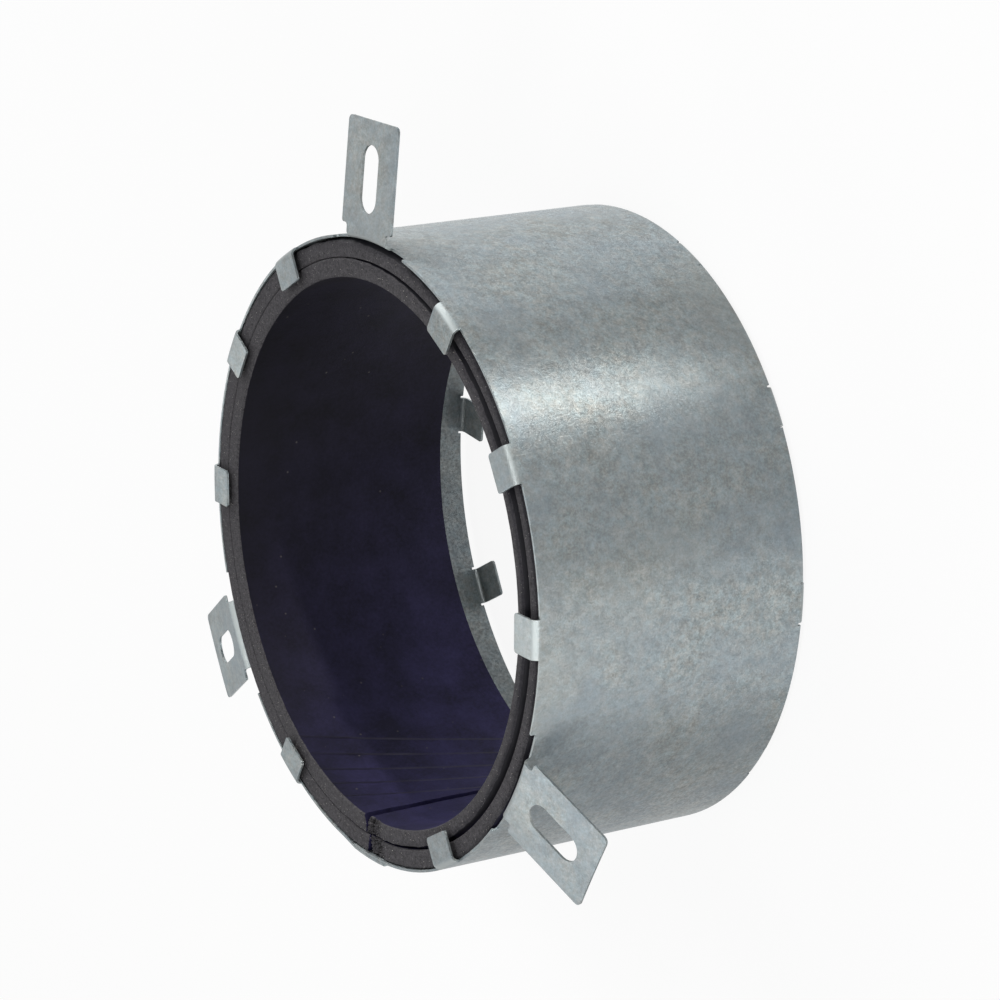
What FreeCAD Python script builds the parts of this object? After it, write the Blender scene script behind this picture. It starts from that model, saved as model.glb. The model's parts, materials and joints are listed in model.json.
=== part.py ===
"""Fire collar for a 110 mm plastic pipe.

A folded sheet-steel casing holds two intumescent strips round the pipe.
Z is the pipe axis. Z = 0 is the plane of the wall or ceiling that the collar
is fixed to, touched by the faces of the front tabs. The casing hangs below it.
Angles are in degrees about Z from +X. The first lug points along +Y.
"""
import FreeCAD, Part
import math
import os
from FreeCAD import Placement, Rotation, Vector

# Pipe and strips
pipe_diameter = 110.0
pipe_clearance = 0.5
strip_thickness = 3.8
strip_width = 50.0
strip_play = 0.1
outer_strip_sink = 0.7
inner_strip_sink = 0.4
strip_sink_angle = 20.0
front_wear_width = 2.2
front_wear_depth = 3.0
front_wear_spread = 1.7
inner_wear_angle = 5.0
outer_wear_angle = 30.0
inner_joint_angle = 268.6
inner_joint_width = 1.4
outer_joint_angle = 269.8
outer_joint_width = 1.6
joint_taper = 1.0

# Casing sheet
sheet = 0.5
wall_height = 60.0
wall_play = 0.2
bend_inside = 1.0

# Lap seam, with its spot welds
seam_angle = 270.0
lap_width = 12.0
joggle_width = 4.0
weld_count = 3
weld_diameter = 4.5
weld_depth = 0.2
weld_end_margin = 12.0

# Places along the front edge, one every pitch
edge_places = 12
lug_count = 3

# Tabs
tab_width = 7.8
front_tab_reach = 6.8
tab_corner = 0.7

# Rear tabs stand in a row of their own. Slits beside them let each bend start inside the edge
rear_tab_count = 10
rear_tab_pitch = 35.2
rear_row_middle = 85.7
rear_tab_reach = 8.4
rear_tab_recess = 0.6
slit_width = 0.5

# Lugs
lug_length = 22.2
lug_width = 18.9
lug_corner = 1.2
neck_length = 1.0
neck_inset = 2.0
neck_corner = 0.6
slot_length = 13.4
slot_width = 6.0
slot_start = 4.0
lug_lean = (5.0, 13.5, 13.0)

# Relief notches beside each lug's neck
notch_length = 6.0
notch_depth = 1.2
notch_corner = 0.5

# Radii and levels that follow
bore_radius = pipe_diameter / 2 + pipe_clearance
inner_strip_outside = bore_radius + strip_thickness
outer_strip_inside = inner_strip_outside + strip_play
outer_strip_outside = outer_strip_inside + strip_thickness
wall_inside = outer_strip_outside + wall_play
wall_outside = wall_inside + sheet
bend_outside = bend_inside + sheet
front_edge = -bend_outside
rear_edge = front_edge - wall_height
wall_middle = (front_edge + rear_edge) / 2
strip_rear = front_edge - strip_width
pitch = 360.0 / edge_places
lug_stride = edge_places // lug_count
first_lug_angle = 90.0
seam_place = round((seam_angle - first_lug_angle) / pitch) % edge_places

Z_AXIS = Vector(0, 0, 1)
OVERRUN = 5.0


def polar(radius, angle, z=0.0):
    """Point at a radius and an angle about the pipe axis."""
    a = math.radians(angle)
    return Vector(radius * math.cos(a), radius * math.sin(a), z)


def arc_edge(radius, start, end):
    """Arc about the pipe axis, anticlockwise from start to end."""
    middle = (start + end) / 2
    return Part.Arc(polar(radius, start), polar(radius, middle), polar(radius, end)).toShape()


def turned(shape, angle):
    """Copy of a shape turned about the pipe axis."""
    copy = shape.copy()
    copy.rotate(Vector(0, 0, 0), Z_AXIS, angle)
    return copy


def ring(inside, outside, bottom, top):
    """Plain ring about the pipe axis."""
    height = top - bottom
    base = Vector(0, 0, bottom)
    return Part.makeCylinder(outside, height, base).cut(Part.makeCylinder(inside, height, base))


def rounded_outline(points, radii):
    """Closed wire through points, with each corner rounded by its own radius."""
    edges = []
    count = len(points)
    starts, ends = [], []
    for i, corner in enumerate(points):
        before = (points[i - 1] - corner).normalize()
        after = (points[(i + 1) % count] - corner).normalize()
        half_angle = before.getAngle(after) / 2
        setback = radii[i] / math.tan(half_angle)
        starts.append(corner + before * setback)
        ends.append(corner + after * setback)
        if radii[i] > 0:
            bisector = (before + after).normalize()
            nearest = corner + bisector * (radii[i] / math.sin(half_angle) - radii[i])
            edges.append(Part.Arc(starts[i], nearest, ends[i]).toShape())
    for i in range(count):
        start = starts[(i + 1) % count]
        if not ends[i].isEqual(start, 1e-6):
            edges.append(Part.LineSegment(ends[i], start).toShape())
    return Part.Wire(Part.__sortEdges__(edges))


def slab(points, radii, bottom, top):
    """Plate between two levels with a rounded outline, given as (x, y) points."""
    outline = rounded_outline([Vector(x, y, bottom) for x, y in points], radii)
    return Part.Face(outline).extrude(Vector(0, 0, top - bottom))


def rectangle(x0, x1, half_width):
    """Corners of a rectangle that lies along X, anticlockwise."""
    return [(x0, -half_width), (x1, -half_width), (x1, half_width), (x0, half_width)]


def revolved(edges, half_width, radius):
    """Profile in the XZ plane, revolved to both sides just past a half width."""
    reach = math.degrees(math.asin(half_width / radius)) + 1.0
    face = Part.Face(Part.Wire(Part.__sortEdges__(edges)))
    face.rotate(Vector(0, 0, 0), Z_AXIS, -reach)
    return face.revolve(Vector(0, 0, 0), Z_AXIS, 2 * reach)


def bent_profile(wall_side, bend_start, turn, flat_length, direction):
    """Edges of a sheet's section: a bend of so many degrees, and then a flat.

    wall_side is the radius of the wall face that lies inside the bend.
    direction is +1 for a sheet folded outwards and -1 for one folded inwards.
    """
    def place(r, z):
        return Vector(r, 0, z)

    centre = wall_side + direction * bend_inside

    def on_bend(radius, angle):
        a = math.radians(angle)
        return place(centre - direction * radius * math.cos(a), bend_start + radius * math.sin(a))

    a = math.radians(turn)
    along = place(direction * math.sin(a), math.cos(a)) * flat_length
    inner = [on_bend(bend_inside, 0), on_bend(bend_inside, turn / 2), on_bend(bend_inside, turn)]
    outer = [on_bend(bend_outside, 0), on_bend(bend_outside, turn / 2), on_bend(bend_outside, turn)]
    return [
        Part.Arc(*inner).toShape(),
        Part.Arc(*outer).toShape(),
        Part.LineSegment(inner[0], outer[0]).toShape(),
        Part.LineSegment(inner[2], inner[2] + along).toShape(),
        Part.LineSegment(outer[2], outer[2] + along).toShape(),
        Part.LineSegment(inner[2] + along, outer[2] + along).toShape(),
    ]


def tab(reach, bend_start):
    """Tab folded in over the strips, on the +X side, cut to its width and corners."""
    tip = wall_outside - reach
    flat_length = wall_inside - bend_inside - tip + OVERRUN
    folded = revolved(bent_profile(wall_inside, bend_start, 90, flat_length, -1), tab_width, tip)
    outline = rectangle(tip, wall_outside + OVERRUN, tab_width / 2)
    blank = slab(outline, [tab_corner, 0, 0, tab_corner], bend_start - OVERRUN, OVERRUN)
    return folded.common(blank)


def rear_tab():
    """Tab folded in at the far edge, made at the front edge and mirrored across the wall's middle."""
    return tab(rear_tab_reach, front_edge - rear_tab_recess).mirror(Vector(0, 0, wall_middle), Z_AXIS)


def rear_cut():
    """Piece of wall that a rear tab's bend takes up, with the slits at its sides, on the +X side."""
    outline = rectangle(wall_inside - OVERRUN, wall_outside + OVERRUN, tab_width / 2 + slit_width)
    return slab(outline, [0, 0, 0, 0], rear_edge - OVERRUN, rear_edge + rear_tab_recess)


def lug(lean):
    """Slotted lug folded outwards on the +X side, leaning back from the wall by lean degrees."""
    bend_start = front_edge - notch_depth
    bend_centre = wall_outside + bend_inside
    folded = revolved(
        bent_profile(wall_outside, bend_start, 90 + lean, lug_length + OVERRUN, 1),
        lug_width,
        wall_outside,
    )
    half = lug_width / 2
    neck_half = half - neck_inset
    plate_start = neck_length
    outline = [
        (-OVERRUN, -neck_half),
        (plate_start, -neck_half),
        (plate_start, -half),
        (lug_length, -half),
        (lug_length, half),
        (plate_start, half),
        (plate_start, neck_half),
        (-OVERRUN, neck_half),
    ]
    shoulder = [neck_corner, neck_corner]
    radii = [0] + shoulder + [lug_corner, lug_corner] + shoulder + [0]
    blank = slab(outline, radii, -OVERRUN, OVERRUN)
    slot_end = slot_start + slot_length
    slot = slab(rectangle(slot_start, slot_end, slot_width / 2), [slot_width / 2] * 4, -OVERRUN, OVERRUN)
    stencil = blank.cut(slot)
    lean_back = Rotation(Vector(0, 1, 0), lean)
    stencil.Placement = Placement(Vector(bend_centre, 0, bend_start), lean_back)
    return folded.common(stencil)


def notch(side):
    """Relief cut in the front edge beside a lug's neck, on the +X side."""
    neck_half = lug_width / 2 - neck_inset
    near = side * neck_half
    far = side * (neck_half + notch_length)
    low, high = sorted((near, far))
    bottom = front_edge - notch_depth
    top = front_edge + OVERRUN
    points = [Vector(0, low, bottom), Vector(0, high, bottom), Vector(0, high, top), Vector(0, low, top)]
    wire = rounded_outline(points, [notch_corner, notch_corner, 0, 0])
    cutter = Part.Face(wire).extrude(Vector(2 * OVERRUN, 0, 0))
    cutter.translate(Vector(wall_inside - OVERRUN, 0, 0))
    return cutter


def wall():
    """Rolled sheet with lapped ends: the far end steps outwards over the near end."""
    lap = math.degrees(lap_width / wall_outside)
    joggle = math.degrees(joggle_width / wall_outside)
    lap_start = seam_angle - lap / 2
    lap_end = seam_angle + lap / 2
    round_start = lap_end - 360
    joggle_start = lap_start - joggle
    lap_outside = wall_outside + sheet
    outside = Part.Wire([
        arc_edge(wall_outside, round_start, joggle_start),
        Part.LineSegment(polar(wall_outside, joggle_start), polar(lap_outside, lap_start)).toShape(),
        arc_edge(lap_outside, lap_start, lap_end),
        Part.LineSegment(polar(lap_outside, lap_end), polar(wall_outside, lap_end)).toShape(),
    ])
    inside = Part.Wire([
        arc_edge(wall_inside, lap_start - 360, joggle_start),
        Part.LineSegment(polar(wall_inside, joggle_start), polar(wall_outside, lap_start)).toShape(),
        Part.LineSegment(polar(wall_outside, lap_start), polar(wall_inside, lap_start)).toShape(),
    ])
    height = Vector(0, 0, wall_height)
    solid = Part.Face(outside).extrude(height).cut(Part.Face(inside).extrude(height))
    solid.translate(Vector(0, 0, rear_edge))
    return solid


def spot_welds():
    """Shallow round prints of the spot welds, in a row down the lap."""
    prints = []
    span = wall_height - 2 * weld_end_margin
    for i in range(weld_count):
        z = rear_edge + weld_end_margin + span * i / (weld_count - 1)
        base = polar(wall_outside + sheet - weld_depth, seam_angle, z)
        prints.append(Part.makeCylinder(weld_diameter / 2, OVERRUN, base, polar(1, seam_angle)))
    return prints


def lug_cut():
    """Piece of wall that a lug's bend takes up, on the +X side."""
    neck_half = lug_width / 2 - neck_inset
    outline = rectangle(wall_inside - OVERRUN, wall_outside + OVERRUN, neck_half)
    return slab(outline, [0, 0, 0, 0], front_edge - notch_depth, front_edge + OVERRUN)


def casing():
    """The whole folded sheet: wall, tabs, lugs, notches and weld prints."""
    front_tab, back_tab = tab(front_tab_reach, front_edge), rear_tab()
    folds, cuts = [], spot_welds()
    for place in range(edge_places):
        angle = first_lug_angle + place * pitch
        if place == seam_place:
            continue
        if place % lug_stride == 0:
            folds.append(turned(lug(lug_lean[place // lug_stride]), angle))
            cuts += [turned(cutter, angle) for cutter in (notch(-1), notch(1), lug_cut())]
        else:
            folds.append(turned(front_tab, angle))
    for i in range(rear_tab_count):
        angle = rear_row_middle + (i - (rear_tab_count - 1) / 2) * rear_tab_pitch
        folds.append(turned(back_tab, angle))
        cuts.append(turned(rear_cut(), angle))
    return wall().cut(cuts).fuse(folds).removeSplitter()


def front_cut(outside, sink):
    """Slanted cut that lets the front end sink towards one side."""
    tilt = math.degrees(math.atan(sink / (2 * outside)))
    cutter = Part.makeBox(4 * outside, 4 * outside, 2 * OVERRUN)
    cutter.translate(Vector(-2 * outside, -2 * outside, 0))
    cutter.rotate(Vector(0, 0, 0), Vector(0, 1, 0), tilt)
    cutter.translate(Vector(0, 0, front_edge - sink / 2))
    return turned(cutter, strip_sink_angle)


def front_wear(outside, angle):
    """Rounded-off outer edge of the front end: what lies outside a cone set off centre."""
    slope = front_wear_width / front_wear_depth
    middle_radius = outside - front_wear_width + front_wear_spread
    foot = front_edge - front_wear_depth
    cone = Part.makeCone(
        middle_radius + front_wear_width, middle_radius - OVERRUN * slope, front_wear_depth + OVERRUN,
        polar(front_wear_spread, angle + 180, foot),
    )
    block = Part.makeCylinder(outside + OVERRUN, front_wear_depth + OVERRUN, Vector(0, 0, foot))
    return block.cut(cone)


def strip(inside, outside, sink, wear_angle, joint_angle, width_inside, width_outside):
    """Intumescent strip bent into a ring, with an open joint."""
    body = ring(inside, outside, strip_rear, front_edge)
    wedge = [
        Vector(inside - 1, -width_inside / 2, strip_rear - OVERRUN),
        Vector(outside + 1, -width_outside / 2, strip_rear - OVERRUN),
        Vector(outside + 1, width_outside / 2, strip_rear - OVERRUN),
        Vector(inside - 1, width_inside / 2, strip_rear - OVERRUN),
    ]
    joint = Part.Face(Part.makePolygon(wedge + [wedge[0]])).extrude(Vector(0, 0, strip_width + 2 * OVERRUN))
    body = body.cut(front_cut(outside, sink)).cut(front_wear(outside, wear_angle))
    return body.cut(turned(joint, joint_angle))


def inner_strip():
    """Strip against the pipe. Its joint opens towards the pipe."""
    return strip(
        bore_radius, inner_strip_outside, inner_strip_sink, inner_wear_angle, inner_joint_angle,
        inner_joint_width, inner_joint_width - joint_taper,
    )


def outer_strip():
    """Strip against the casing. Its joint opens towards the casing."""
    return strip(
        outer_strip_inside, outer_strip_outside, outer_strip_sink, outer_wear_angle, outer_joint_angle,
        outer_joint_width - joint_taper, outer_joint_width,
    )


def save(name, shape):
    """Write one piece, as a valid single solid."""
    if len(shape.Solids) != 1 or not shape.isValid():
        raise RuntimeError(name + " is not one valid solid")
    solid = shape.Solids[0]
    solid.exportStep(os.path.join("parts", name + ".step"))
    print(name, round(solid.Volume, 1), "mm3", len(solid.Faces), "faces")


os.makedirs("parts", exist_ok=True)
save("casing", casing())
save("outer_strip", outer_strip())
save("inner_strip", inner_strip())
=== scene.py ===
"""Dressed model of a fire collar for a plastic pipe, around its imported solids.

The casing is cut as a flat blank and folded, as the real sheet is. The two
intumescent strips and the grains on their cut ends are Geometry Nodes.
Sizes are in millimetres up to the moment a mesh is written in metres.
"""
import json
import math
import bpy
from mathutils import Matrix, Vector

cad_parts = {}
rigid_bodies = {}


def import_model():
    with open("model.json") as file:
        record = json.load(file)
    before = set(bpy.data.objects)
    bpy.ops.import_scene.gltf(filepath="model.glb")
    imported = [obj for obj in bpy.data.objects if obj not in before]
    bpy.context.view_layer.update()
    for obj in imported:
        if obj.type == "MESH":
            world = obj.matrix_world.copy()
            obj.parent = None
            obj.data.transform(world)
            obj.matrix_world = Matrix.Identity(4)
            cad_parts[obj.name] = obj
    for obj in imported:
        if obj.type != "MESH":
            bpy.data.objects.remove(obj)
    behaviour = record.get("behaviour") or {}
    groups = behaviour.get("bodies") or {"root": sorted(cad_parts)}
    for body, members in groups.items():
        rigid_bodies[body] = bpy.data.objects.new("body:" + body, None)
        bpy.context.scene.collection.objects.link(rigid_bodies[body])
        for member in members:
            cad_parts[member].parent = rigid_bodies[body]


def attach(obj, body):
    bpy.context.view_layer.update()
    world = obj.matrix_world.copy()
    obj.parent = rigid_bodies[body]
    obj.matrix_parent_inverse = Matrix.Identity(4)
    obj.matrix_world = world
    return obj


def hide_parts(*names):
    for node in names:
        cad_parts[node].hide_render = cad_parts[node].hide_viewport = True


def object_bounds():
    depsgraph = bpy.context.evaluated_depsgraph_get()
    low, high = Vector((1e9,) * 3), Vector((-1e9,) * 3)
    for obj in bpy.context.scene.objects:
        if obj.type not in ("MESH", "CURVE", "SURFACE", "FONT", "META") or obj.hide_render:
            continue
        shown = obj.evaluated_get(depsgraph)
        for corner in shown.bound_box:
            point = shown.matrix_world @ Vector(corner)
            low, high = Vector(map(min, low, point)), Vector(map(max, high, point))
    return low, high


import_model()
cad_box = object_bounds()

from types import SimpleNamespace

import bpy
from bpy.props import FloatProperty, FloatVectorProperty, IntProperty, PointerProperty
from mathutils import Matrix, Vector, noise
from mathutils.geometry import delaunay_2d_cdt

bl_info = {
    "name": "Pipe fire collar",
    "version": (1, 0, 0),
    "blender": (4, 5, 0),
    "location": "3D View > Sidebar > Fire collar",
    "description": "Builds a folded sheet casing with its intumescent strips",
    "category": "Add Mesh",
}

MM = 0.001

# Angles are in degrees and lengths in millimetres, from here to the strips
SEAM_ANGLE = 270.0
FIRST_LUG_ANGLE = 90.0
PLACES = 12
LUG_EVERY = 4
SEAM_PLACE = 6
LUG_LEAN = (5.0, 13.5, 13.0)
LUG_CORNER = 1.2
NECK_INSET = 2.0
NECK_LENGTH = 1.0
NECK_CORNER = 0.6
SLOT_START = 4.0
NOTCH_LENGTH = 6.0
NOTCH_DEPTH = 1.2
NOTCH_CORNER = 0.5
TAB_CORNER = 0.7
REAR_TABS = 10
REAR_PITCH = 35.2
REAR_MIDDLE = 85.7
REAR_RECESS = 0.6
SLIT = 0.5
JOGGLE = 4.0
TIP_MARGIN = 0.9
WALL_STEP = 2.4
WALL_ROWS = 26
WELD_COUNT = 3
WELD_END = 12.0
WELD_RADIUS = 2.2
SINK_ANGLE = 20.0
WEAR_WIDTH = 2.2
WEAR_DEPTH = 3.0
WEAR_SPREAD = 1.7
CREASE_SKEW = 5.0
CREASES_PER_RADIAN = 11.1
CREASE_MIDDLE = -0.385
FRONT_ROUNDING = 0.35

# Strips from the pipe outwards: names, how far the front sinks, angle of most wear,
# angle of the joint, its gap and its opening, and whether it opens towards the pipe
STRIPS = (
    ("inner_strip_mat", "inner_strip", 0.4, 5.0, 268.6, 0.9, 2.1, True),
    ("outer_strip_mat", "outer_strip", 0.7, 30.0, 269.8, 1.1, 2.2, False),
)

# Camera at the photograph's place: its position in metres, its axes and its lens in mm
CAMERA_PLACE = (0.61442, 0.21223, 0.35031)
CAMERA_RIGHT = (0.52728, 0.00560, -0.84967)
CAMERA_UP = (-0.23468, 0.96204, -0.13929)
CAMERA_BACK = (0.81664, 0.27285, 0.50858)
CAMERA_LENS = 133.82

# Small warm lamp: azimuth, elevation, distance, point that it faces, cone in degrees, power
KEY_SPOT = (57.6, 9, 0.52, (0.049, 0.041, 0.004), 17.0, 6.6)
KEY_COLOUR = (1.0, 0.97, 0.91)

# Softboxes 1.2 m from the collar: name, azimuth, elevation, size in metres, radiance
SOFTBOX_DISTANCE = 1.2
SOFTBOXES = (
    ("near_softbox", -29, 12, (1.15, 0.5), 5.0),
    ("far_softbox", 129, 12, (1.5, 0.5), 4.8),
    ("back_softbox", 216, 49, (0.55, 0.45), 3.4),
    ("left_arch", -22, 55, (0.9, 0.22), 6.0),
    ("right_arch", 58, 55, (0.9, 0.22), 6.0),
    ("top_softbox", 125, 45, (0.5, 0.4), 3.0),
)


# Settings

def length(name, description, millimetres):
    """Property that holds a length."""
    return FloatProperty(
        name=name, description=description, default=millimetres * MM, min=0.0, unit="LENGTH", precision=5)


class CollarCasingSettings(bpy.types.PropertyGroup):
    """Sizes and finish of the folded casing."""
    wall_radius: length("Wall radius", "Outside radius of the rolled wall", 63.9)
    sheet: length("Sheet", "Thickness of the sheet", 0.5)
    front_drop: length("Front drop", "How far the wall's plain front edge stays below the front plane", 1.5)
    wall_height: length("Wall height", "Height of the wall", 60.0)
    bend_inside: length("Bend", "Inside radius of every fold", 1.0)
    tab_width: length("Tab width", "Width of a tab", 7.8)
    front_reach: length("Front tab reach", "How far a front tab reaches inwards", 6.8)
    rear_reach: length("Rear tab reach", "How far a rear tab reaches inwards", 8.4)
    lug_width: length("Lug width", "Width of a lug", 18.9)
    lug_length: length("Lug length", "Length of a lug past its bend", 22.17)
    slot_length: length("Slot length", "Length of a lug's slot", 13.4)
    slot_width: length("Slot width", "Width of a lug's slot", 6.0)
    lap_width: length("Lap", "Overlap of the sheet at the seam", 12.0)
    zinc: FloatVectorProperty(
        name="Zinc", description="Colour of the galvanised surface", subtype="COLOR",
        default=(0.225, 0.246, 0.246), min=0.0, max=1.0)


class CollarStripSettings(bpy.types.PropertyGroup):
    """Sizes and finish of the intumescent strips."""
    bore_radius: length("Bore radius", "Radius of the pipe's bore", 55.5)
    thickness: length("Thickness", "Thickness of one strip", 3.8)
    play: length("Play", "Room between the strips", 0.1)
    width: length("Width", "Width of a strip along the pipe", 50.0)
    seed: IntProperty(name="Seed", description="Seed of the rough surface", default=7)
    face: FloatVectorProperty(
        name="Face", description="Colour of a strip's pressed face", subtype="COLOR",
        default=(0.0165, 0.0147, 0.0350), min=0.0, max=1.0)
    cut: FloatVectorProperty(
        name="Cut end", description="Colour of a strip's cut end", subtype="COLOR",
        default=(0.050, 0.048, 0.052), min=0.0, max=1.0)


class CollarStageSettings(bpy.types.PropertyGroup):
    """Floor and light."""
    floor: FloatVectorProperty(
        name="Floor", description="Colour of the floor", subtype="COLOR",
        default=(0.80, 0.80, 0.80), min=0.0, max=1.0)
    daylight: FloatProperty(
        name="Daylight", description="Level of the even light", default=0.14, min=0.0, max=1.0,
        subtype="FACTOR")


def in_millimetres(group):
    """The same settings with their lengths in millimetres."""
    values = SimpleNamespace()
    for key in group.__annotations__:
        value = getattr(group, key)
        if group.bl_rna.properties[key].unit == "LENGTH":
            value = round(value / MM, 4)
        setattr(values, key, value)
    return values


# Materials

def new_material(name):
    """Empty node material with its output node."""
    material = bpy.data.materials.new(name)
    material.use_nodes = True
    material.node_tree.nodes.clear()
    return material


class Nodes:
    """Short way to add and join nodes in one tree."""

    def __init__(self, tree):
        self.tree = tree

    def add(self, kind, inputs=None, **values):
        node = self.tree.nodes.new(kind)
        for key, value in values.items():
            setattr(node, key, value)
        for key, value in (inputs or {}).items():
            socket = node.inputs[key]
            if isinstance(value, bpy.types.NodeSocket):
                self.tree.links.new(value, socket)
            else:
                socket.default_value = value
        return node

    def math(self, operation, a, b=0.0, c=0.0, clamp=False):
        node = self.add("ShaderNodeMath", {0: a, 1: b, 2: c}, operation=operation, use_clamp=clamp)
        return node.outputs[0]

    def noise(self, vector, scale, detail=4.0, rough=0.6, distortion=0.0):
        return self.add(
            "ShaderNodeTexNoise",
            {"Vector": vector, "Scale": scale, "Detail": detail, "Roughness": rough,
             "Distortion": distortion},
        ).outputs["Fac"]

    def ramp(self, value, low, high, to_low=0.0, to_high=1.0):
        return self.add(
            "ShaderNodeMapRange",
            {"Value": value, "From Min": low, "From Max": high, "To Min": to_low, "To Max": to_high},
            clamp=True,
        ).outputs["Result"]

    def mix(self, factor, a, b, blend="MIX"):
        node = self.add("ShaderNodeMix", data_type="RGBA", blend_type=blend)
        for index, value in ((0, factor), (6, a), (7, b)):
            if isinstance(value, bpy.types.NodeSocket):
                self.tree.links.new(value, node.inputs[index])
            else:
                node.inputs[index].default_value = value
        return node.outputs[2]


def rgba(colour, gain=1.0):
    """Colour with alpha, made lighter or darker."""
    return (colour[0] * gain, colour[1] * gain, colour[2] * gain, 1.0)


def zinc_material(zinc):
    """Galvanised sheet: fine zinc grain, cloudy patches, dull specks, a rolled lustre and a painted
    highlight along the bends.
    """
    material = new_material("galvanised_sheet")
    n = Nodes(material.node_tree)
    where = n.add("ShaderNodeTexCoord").outputs["Object"]
    grain = n.noise(where, 2300, 3, 0.65)
    flecks = n.noise(where, 900, 5, 0.7)
    cloud = n.noise(where, 70, 4, 0.6, 0.3)
    patch = n.noise(where, 24, 3, 0.5)
    blotch = n.noise(where, 300, 3, 0.6)
    tone = n.math("ADD", n.math("MULTIPLY", grain, 0.36), n.math("MULTIPLY", flecks, 0.36))
    tone = n.ramp(n.math("ADD", tone, n.math("MULTIPLY", blotch, 0.28)), 0.41, 0.61)
    base = n.mix(tone, rgba(zinc, 0.70), rgba(zinc, 1.32))
    hue = n.ramp(n.noise(where, 640, 4, 0.65), 0.38, 0.62)
    tint = n.mix(hue, (1.045, 0.99, 0.955, 1.0), (0.955, 1.01, 1.035, 1.0))
    base = n.mix(1.0, base, tint, "MULTIPLY")
    bluish = (zinc[0] * 0.82, zinc[1] * 0.90, zinc[2] * 1.02)
    pale = (zinc[0] * 1.16, zinc[1] * 1.10, zinc[2] * 1.03)
    base = n.mix(n.ramp(cloud, 0.35, 0.7, 0.0, 0.6), base, rgba(bluish))
    base = n.mix(n.ramp(patch, 0.5, 0.75, 0.0, 0.4), base, rgba(pale))
    specks = n.add("ShaderNodeTexVoronoi", {"Vector": where, "Scale": 420.0}).outputs["Distance"]
    base = n.mix(n.ramp(specks, 0.10, 0.04, 0.0, 0.35), base, rgba(zinc, 0.45))
    heat = n.add("ShaderNodeAttribute", attribute_name="weld_heat").outputs["Fac"]
    base = n.mix(n.math("MULTIPLY", heat, 0.55), base, rgba((0.20, 0.16, 0.12)))
    spark = n.noise(where, 1500, 2, 0.5)
    rough = n.math("ADD", n.ramp(spark, 0.38, 0.60, 0.31, 0.46), n.ramp(cloud, 0.3, 0.7, -0.01, 0.05))
    facing = n.add("ShaderNodeSeparateXYZ", {0: n.add("ShaderNodeTexCoord").outputs["Normal"]}).outputs["Z"]
    plate = n.ramp(n.math("ABSOLUTE", facing), 0.5, 0.95, 0.0, 0.85)
    rough = n.math("MULTIPLY", rough, n.math("SUBTRACT", 1.0, plate))
    rough = n.math("ADD", rough, n.math("MULTIPLY", plate, 0.40))
    burnish = n.add("ShaderNodeAttribute", attribute_name="burnish").outputs["Fac"]
    rough = n.math("MULTIPLY", rough, n.math("SUBTRACT", 1.0, burnish))
    rough = n.math("ADD", rough, n.math("MULTIPLY", burnish, 0.36))
    # Painted highlight: the bends' base colour is made lighter so that they show a bright line; the lower
    # roughness there is the burnish.
    base = n.mix(burnish, base, rgba(zinc, 1.35))
    height = n.math("ADD", n.math("MULTIPLY", grain, 0.5), n.math("MULTIPLY", flecks, 0.5))
    height = n.math("MULTIPLY", height, n.ramp(burnish, 0.0, 0.8, 1.0, 0.0))
    height = n.math("MULTIPLY", height, n.math("SUBTRACT", 1.0, plate))
    bump = n.add("ShaderNodeBump", {"Strength": 0.8, "Distance": 0.00007, "Height": height})
    tangent = n.add("ShaderNodeTangent", direction_type="RADIAL", axis="Z")
    shader = n.add("ShaderNodeBsdfPrincipled", {
        "Base Color": base, "Metallic": 0.9, "Roughness": rough, "Anisotropic": 0.9,
        "Anisotropic Rotation": 0.25, "Normal": bump.outputs["Normal"],
        "Tangent": tangent.outputs["Tangent"],
    })
    out = n.add("ShaderNodeOutputMaterial", {"Surface": shader.outputs["BSDF"]})
    out.is_active_output = True
    return material


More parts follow.
